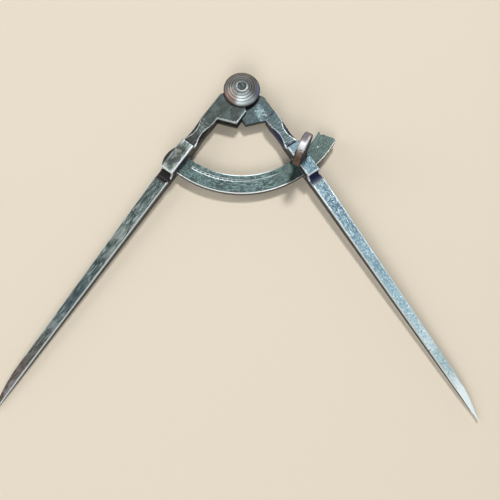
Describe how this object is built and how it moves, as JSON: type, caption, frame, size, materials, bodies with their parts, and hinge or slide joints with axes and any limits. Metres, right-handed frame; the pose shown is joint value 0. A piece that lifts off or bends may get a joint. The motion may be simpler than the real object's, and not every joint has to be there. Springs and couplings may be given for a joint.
{
  "type": "wing divider",
  "caption": "Forged steel wing divider: two tapered legs on a riveted leaf joint, a curved wing fixed in one leg, and a round-headed thumb screw that locks the other leg to it.",
  "frame": {"origin": "on the pivot axis, at the flat back end of the pivot rivet", "axes": "+Z along the pivot axis towards the thumb screw, -Y along the middle of the opening towards the points, +X from the forked leg to the leg with the screw"},
  "size_m": [0.2296, 0.1733, 0.0328],
  "materials": {
    "forged_steel": "forged and filed, dark mottled patina, edges worn bright",
    "rubbed_steel": "forged and filed, patina rubbed bright, edges worn bright",
    "wing_steel": "flat sheet, grey-green patina with a line scored by the screw",
    "rivet_steel": "peened",
    "turned_steel": "lathe turned, brown patina, bright at the crown",
    "screw_steel": "filed and rubbed, brown patina"
  },
  "bodies": {
    "forked_side": {"left_leg": "forged_steel", "wing": "wing_steel", "pivot_rivet": "rivet_steel", "front_washer": "turned_steel", "back_washer": "turned_steel"},
    "tongue_side": {"right_leg": "rubbed_steel"},
    "clamp_screw": {"screw_shank": "screw_steel"},
    "thumb_piece": {"thumb_disc": "screw_steel"}
  },
  "joints": [
    {"name": "leg_hinge", "type": "hinge", "parent": "forked_side", "child": "tongue_side", "pos_m": [0, 0, 0.00625], "axis": [0, 0, 1], "range_deg": [-69.8, 16]},
    {"name": "screw_travel", "type": "slide", "parent": "tongue_side", "child": "clamp_screw", "axis": [0, 0, 1], "range_m": [0, 0.00201]},
    {"name": "screw_turn", "type": "hinge", "parent": "clamp_screw", "child": "thumb_piece", "pos_m": [0.03021, -0.03623, 0.02], "axis": [0, 0, 1], "range_deg": [0, 720]}
  ],
  "couplings": [
    {"joint": "screw_travel", "follows": "screw_turn", "m_per_rad": 0.00015915}
  ]
}
